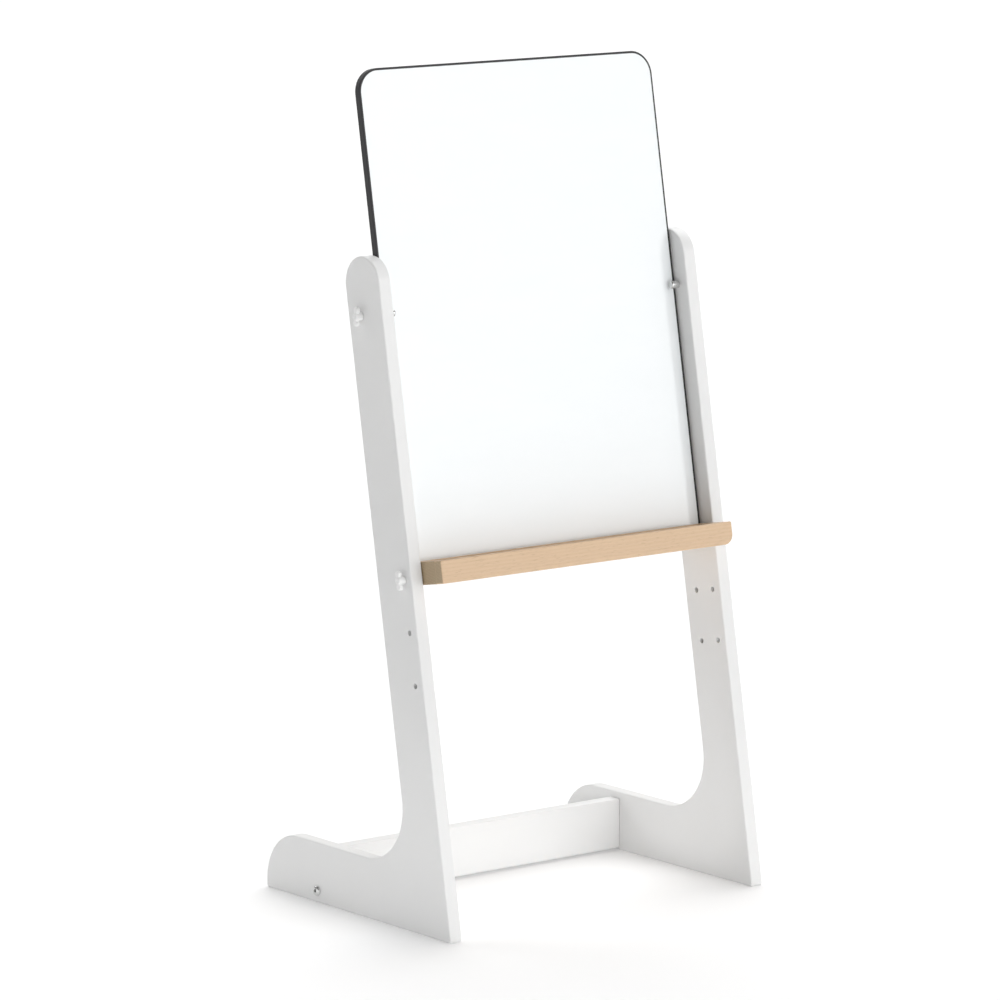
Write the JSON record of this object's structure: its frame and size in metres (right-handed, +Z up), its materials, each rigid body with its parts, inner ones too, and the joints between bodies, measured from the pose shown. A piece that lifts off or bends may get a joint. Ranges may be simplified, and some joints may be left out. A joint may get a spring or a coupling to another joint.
{
  "type": "kids easel",
  "caption": "Free-standing children's easel: L-shaped white side panels, a lift-out white and chalk board between them, and a wooden pen tray held by hand knobs.",
  "frame": {"origin": "on the floor, at the bottom centre of the easel's bounding box", "axes": "+Z up, the child stands at -Y and faces +Y, +X to the right of someone facing the white side"},
  "size_m": [0.5128, 0.3774, 1.033],
  "materials": {
    "white_paint": "painted satin white over MDF",
    "white_enamel": "gloss white dry-wipe sheet",
    "chalk_black": "matt black chalk sheet",
    "black_edge": "satin black edge band",
    "dark_fibre": "raw dark fibreboard",
    "beech": "clear lacquered beech",
    "nickel": "nickel plated",
    "zinc": "zinc plated steel",
    "brass": "turned brass",
    "white_plastic": "moulded white plastic"
  },
  "bodies": {
    "stand": {"side_panel_left": "white_paint", "side_panel_right": "white_paint", "rear_stretcher": "white_paint", "stretcher_bolt_left": "nickel", "stretcher_bolt_right": "nickel", "barrel_nut_left": "zinc", "barrel_nut_right": "zinc", "stretcher_dowel_left": "beech", "stretcher_dowel_right": "beech", "rear_rail": "beech", "rail_insert_left": "brass", "rail_insert_right": "brass", "board_stop_left": "nickel", "board_stop_right": "nickel", "tray_body": "beech", "tray_lip": "beech", "lip_dowel_1": "beech", "lip_dowel_2": "beech", "lip_dowel_3": "beech", "tray_insert_left": "brass", "tray_insert_right": "brass", "tray_pin_left": "zinc", "tray_pin_right": "zinc"},
    "board": {"board_core": "dark_fibre", "board_edge_band": "black_edge", "whiteboard_face": "white_enamel", "chalkboard_face": "chalk_black"},
    "left_rail_knob": {"rail_knob_left": "white_plastic", "rail_stud_left": "zinc"},
    "right_rail_knob": {"rail_knob_right": "white_plastic", "rail_stud_right": "zinc"},
    "left_tray_knob": {"tray_knob_left": "white_plastic", "tray_stud_left": "zinc"},
    "right_tray_knob": {"tray_knob_right": "white_plastic", "tray_stud_right": "zinc"}
  },
  "joints": [
    {"name": "board_lift", "type": "slide", "parent": "stand", "child": "board", "axis": [0, 0.1736, 0.9848], "range_m": [0, 0.3]},
    {"name": "left_rail_knob_turn", "type": "hinge", "parent": "stand", "child": "left_rail_knob", "pos_m": [-0.246, -0.01602, 0.73965], "axis": [-1, 0, 0], "continuous": true},
    {"name": "right_rail_knob_turn", "type": "hinge", "parent": "stand", "child": "right_rail_knob", "pos_m": [0.246, -0.01602, 0.73965], "axis": [1, 0, 0], "continuous": true},
    {"name": "left_tray_knob_turn", "type": "hinge", "parent": "stand", "child": "left_tray_knob", "pos_m": [-0.246, -0.09878, 0.42981], "axis": [-1, 0, 0], "continuous": true},
    {"name": "right_tray_knob_turn", "type": "hinge", "parent": "stand", "child": "right_tray_knob", "pos_m": [0.246, -0.09878, 0.42981], "axis": [1, 0, 0], "continuous": true}
  ]
}
